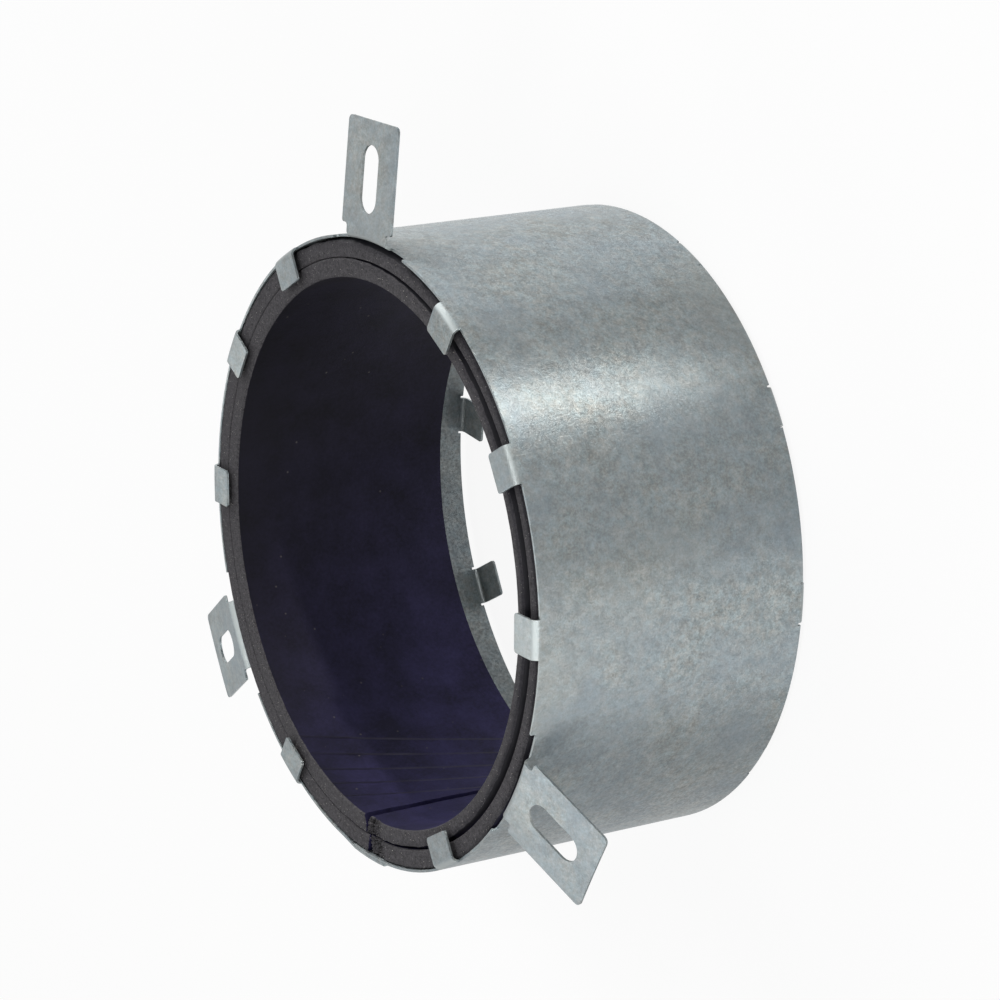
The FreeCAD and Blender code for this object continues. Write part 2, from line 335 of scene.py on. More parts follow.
def strip_material(face, cut):
    """Intumescent strip: smooth bluish pressed faces, and lighter crumbly cut ends, with painted light and
    shade on them.
    """
    material = new_material("intumescent_strip")
    n = Nodes(material.node_tree)
    where = n.add("ShaderNodeTexCoord").outputs["Object"]
    cut_face = n.add("ShaderNodeAttribute", attribute_name="cut_face").outputs["Fac"]
    fine = n.noise(where, 3200, 3, 0.7)
    crumb = n.noise(where, 1300, 5, 0.72)
    cloud = n.noise(where, 110, 4, 0.6)
    mottle = n.math("ADD", n.math("MULTIPLY", cloud, 0.6), n.math("MULTIPLY", crumb, 0.4))
    face_tone = n.ramp(mottle, 0.36, 0.66)
    pressed = n.mix(face_tone, rgba(face, 0.5), rgba(face, 1.65))
    # Painted light: the pressed face is made lighter low in the ring and deeper in the bore.
    pressed = n.mix(1.0, pressed, painted_light_gain(n, where), "MULTIPLY")
    crease, dark = crease_lines(n, where)
    # Painted shade and light: the creases are painted near black near the front and lighter further in.
    crease_tone = n.mix(dark, rgba((0.055, 0.052, 0.075)), rgba((0.004, 0.0035, 0.008)))
    pressed = n.mix(n.math("MULTIPLY", crease, 0.75), pressed, crease_tone)
    dust = n.add("ShaderNodeTexVoronoi", {"Vector": where, "Scale": 230.0}).outputs["Distance"]
    pressed = n.mix(n.ramp(dust, 0.07, 0.03, 0.0, 0.55), pressed, rgba((0.10, 0.092, 0.085)))
    worn_edge_shade = n.add("ShaderNodeAttribute", attribute_name="worn_edge_shade").outputs["Fac"]
    # Painted shade: the rounded-off outer edge of the front is painted near black, for the shade in the
    # groove there.
    pressed = n.mix(n.ramp(worn_edge_shade, 0.0, 0.3), pressed, rgba((0.004, 0.0038, 0.006)))
    crumbs = n.math("ADD", n.math("MULTIPLY", fine, 0.5), n.math("MULTIPLY", crumb, 0.5))
    cut_tone = n.ramp(crumbs, 0.38, 0.64)
    broken = n.mix(cut_tone, rgba(cut, 0.45), rgba(cut, 1.60))
    torn = n.add("ShaderNodeAttribute", attribute_name="torn").outputs["Fac"]
    pits = n.ramp(n.noise(where, 1500, 3, 0.6), 0.46, 0.58)
    # The torn corner is real; its pits are painted near black, which is painted shade in them.
    broken = n.mix(n.math("MULTIPLY", torn, pits), broken, rgba(cut, 0.08))
    # Painted shade: the cut end is painted darker where its edge is rounded off.
    broken = n.mix(n.math("MULTIPLY", worn_edge_shade, 0.75), broken, rgba((0.006, 0.0055, 0.010)))
    base = n.mix(cut_face, pressed, broken)
    rough = n.ramp(cut_face, 0.0, 1.0, 0.58, 0.85)
    height = n.math("ADD", n.math("MULTIPLY", fine, 0.4), n.math("MULTIPLY", crumb, 0.8))
    height = n.math("MULTIPLY", height, n.ramp(cut_face, 0.0, 1.0, 0.35, 1.0))
    height = n.math("ADD", height, n.math("MULTIPLY", crease, n.ramp(dark, 0.0, 1.0, 0.8, -1.0)))
    bump = n.add("ShaderNodeBump", {"Strength": 0.6, "Distance": 0.00018, "Height": height})
    shader = n.add("ShaderNodeBsdfPrincipled", {
        "Base Color": base, "Metallic": 0.0, "Roughness": rough, "Specular IOR Level": 0.15,
        "Normal": bump.outputs["Normal"],
    })
    out = n.add("ShaderNodeOutputMaterial", {"Surface": shader.outputs["BSDF"]})
    out.is_active_output = True
    return material


def painted_light_gain(n, where):
    """Gain of the pressed face, which is painted light: lighter and bluer low in the ring, and lighter away
    from the front, where the light falls in.
    """
    xyz = n.add("ShaderNodeSeparateXYZ", {0: where}).outputs
    lower_side = n.math("SUBTRACT", xyz["X"], xyz["Y"])
    depth = n.ramp(xyz["Z"], -0.042, -0.002, 1.45, 0.35)
    painted_gain = n.math("MULTIPLY", n.ramp(lower_side, -0.07, 0.07, 0.45, 1.65), depth)
    blue = n.math("MULTIPLY", painted_gain, n.ramp(lower_side, -0.07, 0.07, 0.90, 1.40))
    return n.add("ShaderNodeCombineXYZ", {"X": painted_gain, "Y": painted_gain, "Z": blue}).outputs[0]


def crease_lines(n, where):
    """Straight creases low in the ring, askew to the pipe: how strong they are, and how dark, which paints
    shade in them near the front and light on them further in.
    """
    xyz = n.add("ShaderNodeSeparateXYZ", {0: where}).outputs
    angle = n.math("ARCTAN2", xyz["X"], n.math("MULTIPLY", xyz["Y"], -1.0))
    across = n.math("ADD", angle, n.math("MULTIPLY", xyz["Z"], CREASE_SKEW))
    phase = n.math("FRACT", n.math("MULTIPLY_ADD", across, CREASES_PER_RADIAN, -0.2))
    line = n.ramp(n.math("ABSOLUTE", n.math("SUBTRACT", phase, 0.5)), 0.02, 0.09, 1.0, 0.0)
    broken = n.ramp(n.noise(where, 70, 2, 0.5), 0.34, 0.54, 0.35, 1.0)
    low = n.ramp(n.math("ABSOLUTE", n.math("SUBTRACT", across, CREASE_MIDDLE)), 0.20, 0.26, 1.0, 0.0)
    dark = n.ramp(xyz["Z"], -0.020, -0.012)
    return n.math("MULTIPLY", n.math("MULTIPLY", line, broken), low), dark


def grain_material():
    """Pale mineral grains that show on a cut strip."""
    material = new_material("mineral_grain")
    n = Nodes(material.node_tree)
    where = n.add("ShaderNodeTexCoord").outputs["Object"]
    tone = n.ramp(n.noise(where, 700, 2, 0.5), 0.3, 0.7)
    base = n.mix(tone, rgba((0.12, 0.115, 0.11)), rgba((0.30, 0.29, 0.27)))
    shader = n.add("ShaderNodeBsdfPrincipled", {"Base Color": base, "Roughness": 0.42})
    out = n.add("ShaderNodeOutputMaterial", {"Surface": shader.outputs["BSDF"]})
    out.is_active_output = True
    return material


# Folding the casing

class Fold:
    """The blank's folds. A flat point (arc length, level) goes to its place on the folded casing."""

    def __init__(self, s):
        self.s = s
        self.wall = s.wall_radius - s.sheet / 2
        self.bend = s.bend_inside + s.sheet / 2
        self.front = -s.front_drop
        self.rear = self.front - s.wall_height
        self.rear_start = self.rear + REAR_RECESS
        self.lug_start = self.front - NOTCH_DEPTH
        self.lug_centre = s.wall_radius + s.bend_inside

    def arc(self, angle):
        """Arc length on the blank up to an angle of the wall."""
        return math.radians(angle) * self.wall

    def side(self, x):
        """Arc length on the blank of a point at a distance x beside a fold's middle line."""
        return self.wall * math.asin(x / self.wall)

    def tab_level(self, x, y):
        """Distance along a tab's fold of a point at x from the axis, y beside."""
        return self.bend * math.pi / 2 + (self.wall - self.bend - math.hypot(x, y))

    def lug_level(self, along, y, lean):
        """Distance along a lug's fold of a point so far along its plate, y beside."""
        tip = math.radians(lean)
        flat_start = self.lug_centre + self.bend * math.sin(tip)
        x = flat_start + along * math.cos(tip)
        run = (math.hypot(x, y) - flat_start) / math.cos(tip)
        return self.bend * math.radians(90 + lean) + run

    def tab_point(self, t, front):
        """(radius, level) at a distance t along a tab's fold."""
        quarter = self.bend * math.pi / 2
        a = min(t, quarter) / self.bend
        radius = self.wall - self.bend + self.bend * math.cos(a) - max(0.0, t - quarter)
        rise = self.bend * math.sin(a)
        return radius, (self.front + rise if front else self.rear_start - rise)

    def burnish(self, t, turn):
        """How much the press has polished a point at a distance t along a fold, which also sets how much
        painted highlight the bend gets.
        """
        part = t / (self.bend * math.radians(turn))
        return math.sin(math.pi * part) ** 2 if 0.0 < part < 1.0 else 0.0

    def lug_point(self, t, lean):
        """(radius, level) at a distance t along a lug's fold."""
        turn = math.radians(90 + lean)
        a = min(t / self.bend, turn)
        run = max(0.0, t - self.bend * turn)
        radius = self.lug_centre - self.bend * math.cos(a) + run * math.sin(turn)
        return radius, self.lug_start + self.bend * math.sin(a) + run * math.cos(turn)


def on_blank(angle):
    """The same angle, from the blank's near end at the seam upwards."""
    return angle - 360 if angle > SEAM_ANGLE else angle


def place_angle(place):
    """Angle of a place along the front edge."""
    return on_blank(FIRST_LUG_ANGLE + place * 360.0 / PLACES)


def rear_angle(index):
    """Angle of a rear tab."""
    return on_blank(REAR_MIDDLE + (index - (REAR_TABS - 1) / 2) * REAR_PITCH)


def rounded(points, radii, steps=5):
    """Points of a polygon with rounded corners."""
    out = []
    count = len(points)
    for i, corner in enumerate(points):
        r = radii[i]
        if r <= 0:
            out.append(corner)
            continue
        a = Vector(points[i - 1]) - Vector(corner)
        b = Vector(points[(i + 1) % count]) - Vector(corner)
        a.normalize()
        b.normalize()
        half = a.angle(b) / 2
        back = r / math.tan(half)
        centre = Vector(corner) + (a + b).normalized() * (r / math.sin(half))
        start = Vector(corner) + a * back - centre
        end = Vector(corner) + b * back - centre
        turn = start.angle_signed(end)
        for k in range(steps + 1):
            spin = -turn * k / steps
            c, sn = math.cos(spin), math.sin(spin)
            p = centre + Vector((start.x * c - start.y * sn, start.x * sn + start.y * c))
            out.append((p.x, p.y))
    return out


def densify(points, step, closed=False):
    """The same line with points no further apart than a step."""
    out = []
    last = len(points) if closed else len(points) - 1
    for i in range(last):
        a, b = Vector(points[i]), Vector(points[(i + 1) % len(points)])
        parts = max(1, math.ceil((b - a).length / step))
        out += [tuple(a.lerp(b, k / parts)) for k in range(parts)]
    if not closed:
        out.append(tuple(points[-1]))
    return out


def tab_outline(fold, reach, width, corner):
    """Tab's edge on the blank, from its +side root to its -side root, as (beside, along) points."""
    half = width / 2
    tip = fold.s.wall_radius - reach
    quarter = fold.bend * math.pi / 2
    side = [(half, quarter * k / 8) for k in range(9)]
    corners = [(half, fold.wall), (half, tip), (-half, tip), (-half, fold.wall)]
    shape = rounded(corners, [0, corner, corner, 0])
    tip_points = densify([p for p in shape if p[1] < tip + corner + 0.01], 0.8)
    line = side + [(x, fold.tab_level(y, x)) for x, y in tip_points]
    line += [(-x, t) for x, t in reversed(side)]
    return [(fold.side(x), t) for x, t in line]


def lug_outline(fold, lean):
    """Lug's edge on the blank, from its +side root to its -side root, and its slot."""
    s = fold.s
    half = s.lug_width / 2
    neck = half - NECK_INSET
    turn = fold.bend * math.radians(90 + lean)
    side = [(neck, turn * k / 9) for k in range(9)]
    corners = [(neck, 0.0), (neck, NECK_LENGTH), (half, NECK_LENGTH), (half, s.lug_length),
               (-half, s.lug_length), (-half, NECK_LENGTH), (-neck, NECK_LENGTH), (-neck, 0.0)]
    radii = [0, NECK_CORNER, NECK_CORNER, LUG_CORNER, LUG_CORNER, NECK_CORNER, NECK_CORNER, 0]
    shape = rounded(corners, radii)
    plate = [(x, fold.lug_level(y, x, lean)) for x, y in densify(shape, 1.0)]
    line = side + plate + [(-x, t) for x, t in reversed(side)]
    r = s.slot_width / 2
    slot_end = SLOT_START + s.slot_length
    slot = [(-r, SLOT_START), (r, SLOT_START), (r, slot_end), (-r, slot_end)]
    ring = densify(rounded(slot, [r * 0.999] * 4, 9), 1.0, True)
    slot_line = [(fold.side(x), fold.lug_level(y, x, lean)) for x, y in ring]
    return [(fold.side(x), t) for x, t in line], slot_line


def clean_line(points, gap=0.02):
    """Drops points that fall on the one before them."""
    out = []
    for p in points:
        if not out or math.hypot(p[0] - out[-1][0], p[1] - out[-1][1]) > gap:
            out.append(p)
    if math.hypot(out[0][0] - out[-1][0], out[0][1] - out[-1][1]) < gap:
        out.pop()
    return out


def is_within(point, polygon):
    """True where a point is inside a polygon."""
    x, y = point
    hit = False
    j = len(polygon) - 1
    for i in range(len(polygon)):
        xi, yi = polygon[i]
        xj, yj = polygon[j]
        if (yi > y) != (yj > y) and x < (xj - xi) * (y - yi) / (yj - yi) + xi:
            hit = not hit
        j = i
    return hit


def is_sheet(point, outline, slots):
    """True where the blank has sheet: inside its outline and outside its slots."""
    return is_within(point, outline) and not any(is_within(point, slot) for slot in slots)


def rear_edge(fold):
    """Rear tabs on the blank as (middle, edge line) pairs, and the points inside them."""
    s = fold.s
    lines, extra = [], []
    for index in range(REAR_TABS):
        middle = fold.arc(rear_angle(index))
        slit = fold.side(s.tab_width / 2 + SLIT)
        line = [(slit, fold.rear), (slit, fold.rear_start)]
        line += [(u, fold.rear_start - t)
                 for u, t in tab_outline(fold, s.rear_reach, s.tab_width, TAB_CORNER)]
        line += [(-slit, fold.rear_start), (-slit, fold.rear)]
        lines.append((middle, [(middle - u, v) for u, v in line]))
        end = fold.tab_level(s.wall_radius - s.rear_reach + TIP_MARGIN, 0.0)
        half = s.tab_width / 2 - TIP_MARGIN
        extra += inner_rows(fold, middle, fold.rear_start, -1, half, end, 90)
    return sorted(lines, key=lambda line: line[0]), extra


def front_edge(fold):
    """Front tabs and lugs as (middle, edge line) pairs, the lugs' slots, and the points inside."""
    s = fold.s
    lines, slots, extra = [], [], []
    for place in range(PLACES):
        if place == SEAM_PLACE:
            continue
        middle = fold.arc(place_angle(place))
        if place % LUG_EVERY:
            line = tab_outline(fold, s.front_reach, s.tab_width, TAB_CORNER)
            lines.append((middle, [(middle + u, fold.front + t) for u, t in line]))
            end = fold.tab_level(s.wall_radius - s.front_reach + TIP_MARGIN, 0.0)
            half = s.tab_width / 2 - TIP_MARGIN
            extra += inner_rows(fold, middle, fold.front, 1, half, end, 90)
            continue
        lean = LUG_LEAN[place // LUG_EVERY]
        lug_line, slot = lug_outline(fold, lean)
        far = middle + fold.side(s.lug_width / 2 - NECK_INSET + NOTCH_LENGTH)
        root = [(far, fold.front), (far, fold.lug_start), (middle + lug_line[0][0], fold.lug_start)]
        right = densify(rounded(root, [0, NOTCH_CORNER, 0]), 0.6)
        left = [(2 * middle - u, v) for u, v in reversed(right)]
        lines.append((middle, right + [(middle + u, fold.lug_start + t) for u, t in lug_line] + left))
        slots.append([(middle + u, fold.lug_start + t) for u, t in slot])
        extra += lug_points(fold, middle, lean)
    return sorted(lines, key=lambda line: -line[0]), slots, extra


def lug_points(fold, middle, lean):
    """Points inside a lug: over its bend, past its slot and beside its slot."""
    half = fold.s.lug_width / 2 - 2.9
    end = fold.lug_level(SLOT_START - 1.0, 0.0, lean)
    points = inner_rows(fold, middle, fold.lug_start, 1, half, end, 90 + lean)
    points += [(middle + u, fold.lug_start + fold.lug_level(along, 0, lean))
               for along in (18.7, 20.2) for u in (-6, -3.6, -1.2, 1.2, 3.6, 6)]
    points += [(middle + u, fold.lug_start + fold.lug_level(along, 0, lean))
               for along in range(3, 20, 2) for u in (-7.4, -5.2, 5.2, 7.4)]
    return points


def wall_points(fold, first, last, welds):
    """Even points over the wall, and rings round each weld."""
    points = []
    columns = round((last - first) / WALL_STEP)
    for i in range(1, columns):
        for j in range(1, WALL_ROWS):
            u = first + (last - first) * i / columns
            v = fold.rear + fold.s.wall_height * j / WALL_ROWS
            if min(math.hypot(u - wu, v - wv) for wu, wv in welds) > 3.6:
                points.append((u, v))
    for wu, wv in welds:
        for ring, radius in enumerate((0.001, 0.8, 1.5, 1.95, WELD_RADIUS, 2.45, 2.9, 3.4)):
            count = 1 if ring == 0 else 20
            points += [(wu + radius * math.cos(2 * math.pi * k / count),
                        wv + radius * math.sin(2 * math.pi * k / count)) for k in range(count)]
    return points


def blank(fold, welds):
    """Flat blank of the casing as (points, triangles). Its edge runs anticlockwise from the rear."""
    height = fold.s.wall_height
    lap = math.degrees(fold.s.lap_width / fold.s.wall_radius)
    first = fold.arc(SEAM_ANGLE - lap / 2 - 360)
    last = fold.arc(SEAM_ANGLE + lap / 2)
    rears, extra = rear_edge(fold)
    fronts, slots, more = front_edge(fold)
    extra += more
    outline = [(first, fold.rear)]
    for _, line in rears:
        outline += line
    outline.append((last, fold.rear))
    outline += [(last, fold.rear + height * k / 24) for k in range(1, 24)]
    outline.append((last, fold.front))
    for _, line in fronts:
        outline += line
    outline.append((first, fold.front))
    outline += [(first, fold.front - height * k / 24) for k in range(1, 24)]
    outline = clean_line(densify(clean_line(outline), 2.4, True))
    extra += wall_points(fold, first, last, welds)
    points = [Vector(p) for p in outline]
    edges = [(i, (i + 1) % len(outline)) for i in range(len(outline))]
    for slot in slots:
        slot = clean_line(slot)
        base = len(points)
        points += [Vector(p) for p in slot]
        edges += [(base + i, base + (i + 1) % len(slot)) for i in range(len(slot))]
    points += [Vector(p) for p in extra if is_sheet(p, outline, slots)]
    verts, _, faces, *_ = delaunay_2d_cdt(points, edges, [], 0, 1e-6)
    triangles = []
    for face in faces:
        centre = sum((verts[i] for i in face), Vector((0, 0))) / len(face)
        if is_sheet(centre, outline, slots):
            triangles.append(tuple(face))
    return verts, triangles


def inner_rows(fold, middle, level, direction, half, end, turn):
    """Points inside a tab or lug: a row for each step of its bend, and more along its flat."""
    bend_end = fold.bend * math.radians(turn)
    count = 9 if turn > 90 else 8
    rows = [bend_end * k / count for k in range(count + 1)]
    flat = max(1, round((end - bend_end) / 1.1))
    rows += [bend_end + (end - bend_end) * k / flat for k in range(1, flat + 1)]
    columns = max(2, round(2 * half / 1.2))
    return [(middle + fold.side(-half + 2 * half * c / columns), level + direction * t)
            for t in rows for c in range(columns + 1)]


def folded_point(fold, u, v, welds):
    """Place in 3D of a point of the blank, its weld's heat, and how far a bend burnished it, which also sets
    the bend's painted highlight.
    """
    s = fold.s
    angle = math.degrees(u / fold.wall)
    place = min(range(PLACES), key=lambda p: abs(angle - place_angle(p)))
    middle = place_angle(place)
    beside = fold.wall * math.sin(math.radians(angle - middle))
    neck = s.lug_width / 2 - NECK_INSET
    in_lug = place % LUG_EVERY == 0 and v > fold.lug_start and abs(beside) < s.lug_width / 2 + 0.1
    if in_lug and (v > fold.front or abs(beside) < neck + 0.02):
        lean = LUG_LEAN[place // LUG_EVERY]
        radius, z = fold.lug_point(v - fold.lug_start, lean)
        return beside_fold(radius, beside, middle, z), 0.0, fold.burnish(v - fold.lug_start, 90 + lean)
    if v > fold.front:
        radius, z = fold.tab_point(v - fold.front, True)
        return beside_fold(radius, beside, middle, z), 0.0, fold.burnish(v - fold.front, 90)
    if v < fold.rear_start:
        middle = min((rear_angle(i) for i in range(REAR_TABS)), key=lambda m: abs(angle - m))
        beside = fold.wall * math.sin(math.radians(angle - middle))
        if abs(beside) < s.tab_width / 2 + SLIT / 2:
            radius, z = fold.tab_point(fold.rear_start - v, False)
            return beside_fold(radius, beside, middle, z), 0.0, fold.burnish(fold.rear_start - v, 90)
    lap = math.degrees(s.lap_width / s.wall_radius)
    joggle = math.degrees(JOGGLE / s.wall_radius)
    rise = max(0.0, min(1.0, (angle - (SEAM_ANGLE - lap / 2 - joggle)) / joggle))
    under = max(0.0, min(1.0, (SEAM_ANGLE + lap / 2 + joggle - 360 - angle) / joggle))
    lift = rise * rise * (3 - 2 * rise) * s.sheet - 0.03 * under
    heat = 0.0
    for weld_u, weld_v in welds:
        d = math.hypot(u - weld_u, v - weld_v)
        dip = max(0.0, min(1.0, (2.5 - d) / 0.6))
        lift -= 0.16 * dip * dip * (3 - 2 * dip)
        ring = math.exp(-((d - 2.6) / 0.9) ** 2) * 0.8
        halo = math.exp(-((d - 4.4) / 1.6) ** 2) * 0.35
        heat = max(heat, ring, halo)
    a = math.radians(angle)
    radius = fold.wall + lift
    return Vector((radius * math.cos(a), radius * math.sin(a), v)), heat, 0.0


def beside_fold(radius, beside, middle, z):
    """Point at a radius and a level, so far beside the middle line of a fold."""
    a = math.radians(middle)
    x = math.sqrt(radius * radius - beside * beside)
    return Vector((x * math.cos(a) - beside * math.sin(a), x * math.sin(a) + beside * math.cos(a), z))


def object_from(name, verts, faces):
    """New object at the origin from points in mm."""
    mesh = bpy.data.meshes.new(name)
    mesh.from_pydata([tuple(v * MM for v in p) for p in verts], [], faces)
    mesh.update()
    obj = bpy.data.objects.new(name, mesh)
    bpy.context.scene.collection.objects.link(obj)
    return obj


def apply_modifiers(obj):
    """Leaves an object with the plain mesh that its modifiers make."""
    graph = bpy.context.evaluated_depsgraph_get()
    mesh = bpy.data.meshes.new_from_object(obj.evaluated_get(graph), depsgraph=graph)
    old = obj.data
    obj.modifiers.clear()
    obj.data = mesh
    bpy.data.meshes.remove(old)
    mesh.name = obj.name


class COLLAR_OT_casing(bpy.types.Operator):
    """Fold the casing from its flat blank"""
    bl_idname = "collar.casing"
    bl_label = "Casing"

    def execute(self, context):
        s = in_millimetres(context.scene.collar_casing)
        fold = Fold(s)
        seam = fold.arc(SEAM_ANGLE)
        spacing = (s.wall_height - 2 * WELD_END) / (WELD_COUNT - 1)
        welds = [(seam, fold.rear + WELD_END + spacing * k) for k in range(WELD_COUNT)]
        flat, triangles = blank(fold, welds)
        placed = [folded_point(fold, p.x, p.y, welds) for p in flat]
        points, heats, burnish_and_highlights = zip(*placed)
        obj = object_from("casing_sheet", points, triangles)
        for name, values in (("weld_heat", heats), ("burnish", burnish_and_highlights)):
            obj.data.attributes.new(name, "FLOAT", "POINT").data.foreach_set("value", values)
        obj.data.polygons.foreach_set("use_smooth", [True] * len(obj.data.polygons))
        solid = obj.modifiers.new("sheet", "SOLIDIFY")
        solid.thickness = (s.sheet - 0.0006) * MM
        solid.offset = 0.0
        solid.use_even_offset = True
        edge = obj.modifiers.new("sheared_edge", "BEVEL")
        edge.width = 0.09 * MM
        edge.segments = 2
        edge.limit_method = "ANGLE"
        edge.angle_limit = math.radians(50)
        edge.harden_normals = True
        apply_modifiers(obj)
        obj.data.materials.append(zinc_material(s.zinc))
        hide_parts("casing")
        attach(obj, "root")
        return {"FINISHED"}


# The strips

def input_socket(tree, name, kind, value=None):
    """Named input of a node tree."""
    socket = tree.interface.new_socket(name=name, in_out="INPUT", socket_type=kind)
    if value is not None:
        socket.default_value = value
    return socket


def strip_tree():
    """Strip bent into a ring: a rectangular section swept along an arc, skewed, with a rough surface."""
    tree = bpy.data.node_groups.new("intumescent_strip_ring", "GeometryNodeTree")
    tree.interface.new_socket(name="Geometry", in_out="OUTPUT", socket_type="NodeSocketGeometry")
    sizes = {
        "Middle Radius": 57.4 * MM, "Thickness": 3.8 * MM, "Width": 50.0 * MM, "Middle Level": -26.5 * MM,
        "Start": 0.0, "Sweep": 6.2, "Step": 0.5 * MM, "Skew": 0.2 * MM,
        "Skew Drop": 0.2 * MM, "Skew Angle": 0.35, "Roughness": 0.14 * MM, "Seed": 7.0,
    }
    for name, value in sizes.items():
        input_socket(tree, name, "NodeSocketFloat", value)
    input_socket(tree, "Material", "NodeSocketMaterial")
    n = Nodes(tree)
    given = n.add("NodeGroupInput").outputs
    run = n.math("MULTIPLY", given["Middle Radius"], given["Sweep"])
    count = n.math("ROUND", n.math("DIVIDE", run, given["Step"]))
    path = n.add("GeometryNodeCurveArc", {
        "Resolution": count, "Radius": given["Middle Radius"], "Start Angle": given["Start"],
        "Sweep Angle": given["Sweep"]}, mode="RADIUS")
    normal = n.add("GeometryNodeSetCurveNormal", {"Curve": path.outputs["Curve"]}, mode="Z_UP")
    section = n.add("GeometryNodeCurvePrimitiveQuadrilateral", {
        "Width": given["Thickness"], "Height": given["Width"]}, mode="RECTANGLE")
    even = n.add("GeometryNodeSubdivideCurve", {"Curve": section.outputs["Curve"], "Cuts": 25})
    sweep = n.add("GeometryNodeCurveToMesh", {
        "Curve": normal.outputs["Curve"], "Profile Curve": even.outputs["Curve"], "Fill Caps": True})
    raised = n.add("GeometryNodeTransform", {
        "Geometry": sweep.outputs["Mesh"],
        "Translation": n.add("ShaderNodeCombineXYZ", {"Z": given["Middle Level"]}).outputs[0]})
    position = n.add("GeometryNodeInputPosition").outputs[0]
    xyz = n.add("ShaderNodeSeparateXYZ", {0: position}).outputs
    east = n.math("MULTIPLY", xyz["X"], n.math("COSINE", given["Skew Angle"]))
    north = n.math("MULTIPLY", xyz["Y"], n.math("SINE", given["Skew Angle"]))
    toward = n.math("DIVIDE", n.math("ADD", east, north), given["Middle Radius"])
    low = n.math("SUBTRACT", given["Middle Level"], n.math("MULTIPLY", given["Width"], 0.5))
    up = n.math("DIVIDE", n.math("SUBTRACT", xyz["Z"], low), given["Width"], clamp=True)
    drop = n.math("ADD", n.math("MULTIPLY", toward, given["Skew"]), given["Skew Drop"])
    skew = n.math("MULTIPLY", n.math("MULTIPLY", drop, up), -1.0)
    skewed = n.add("GeometryNodeSetPosition", {
        "Geometry": raised.outputs["Geometry"],
        "Offset": n.add("ShaderNodeCombineXYZ", {"Z": skew}).outputs[0]})
    facing = n.add("GeometryNodeInputNormal").outputs[0]
    level = n.math("ABSOLUTE", n.add("ShaderNodeSeparateXYZ", {0: facing}).outputs["Z"])
    cut = n.ramp(level, 0.45, 0.85)
    marked = n.add("GeometryNodeStoreNamedAttribute", {
        "Geometry": skewed.outputs["Geometry"], "Name": "cut_face", "Value": cut},
        data_type="FLOAT", domain="FACE")
    wave = n.add("ShaderNodeTexNoise", {
        "Vector": position, "W": given["Seed"], "Scale": 420.0, "Detail": 4.0, "Roughness": 0.7},
        noise_dimensions="4D").outputs["Fac"]
    broad = n.add("ShaderNodeTexNoise", {
        "Vector": position, "W": given["Seed"], "Scale": 60.0, "Detail": 2.0},
        noise_dimensions="4D").outputs["Fac"]
    lump = n.math("ADD", n.math("SUBTRACT", wave, 0.5), n.math("SUBTRACT", broad, 0.5))
    amount = n.math("MULTIPLY", lump, given["Roughness"])
    rough = n.add("GeometryNodeSetPosition", {
        "Geometry": marked.outputs["Geometry"],
        "Offset": n.add("ShaderNodeVectorMath", {0: facing, "Scale": amount}, operation="SCALE").outputs[0]})
    smooth = n.add("GeometryNodeSetShadeSmooth", {
        "Geometry": rough.outputs["Geometry"], "Shade Smooth": True})
    edge_angle = n.add("GeometryNodeInputMeshEdgeAngle").outputs["Unsigned Angle"]
    corner = n.add("FunctionNodeCompare", {0: edge_angle, 1: 0.9}, operation="GREATER_THAN")
    crisp = n.add("GeometryNodeSetShadeSmooth", {
        "Geometry": smooth.outputs["Geometry"], "Selection": corner.outputs[0], "Shade Smooth": False},
        domain="EDGE")
    real = n.add("GeometryNodeRealizeInstances", {"Geometry": crisp.outputs["Geometry"]})
    painted = n.add("GeometryNodeSetMaterial", {
        "Geometry": real.outputs["Geometry"], "Material": given["Material"]})
    n.add("NodeGroupOutput", {"Geometry": painted.outputs["Geometry"]})
    return tree


def set_inputs(modifier, values):
    """Sets a node modifier's inputs by their sockets' identifiers."""
    for item in modifier.node_group.interface.items_tree:
        if item.item_type == "SOCKET" and item.in_out == "INPUT" and item.name in values:
            modifier[item.identifier] = values[item.name]


def from_tree(name, tree, values, mesh=None):
    """Object whose plain mesh is what a node tree makes."""
    obj = bpy.data.objects.new(name, mesh or bpy.data.meshes.new(name))
    bpy.context.scene.collection.objects.link(obj)
    modifier = obj.modifiers.new(name, "NODES")
    modifier.node_group = tree
    set_inputs(modifier, values)
    apply_modifiers(obj)
    if not obj.data.polygons:
        raise RuntimeError(name + " came out empty")
    return obj


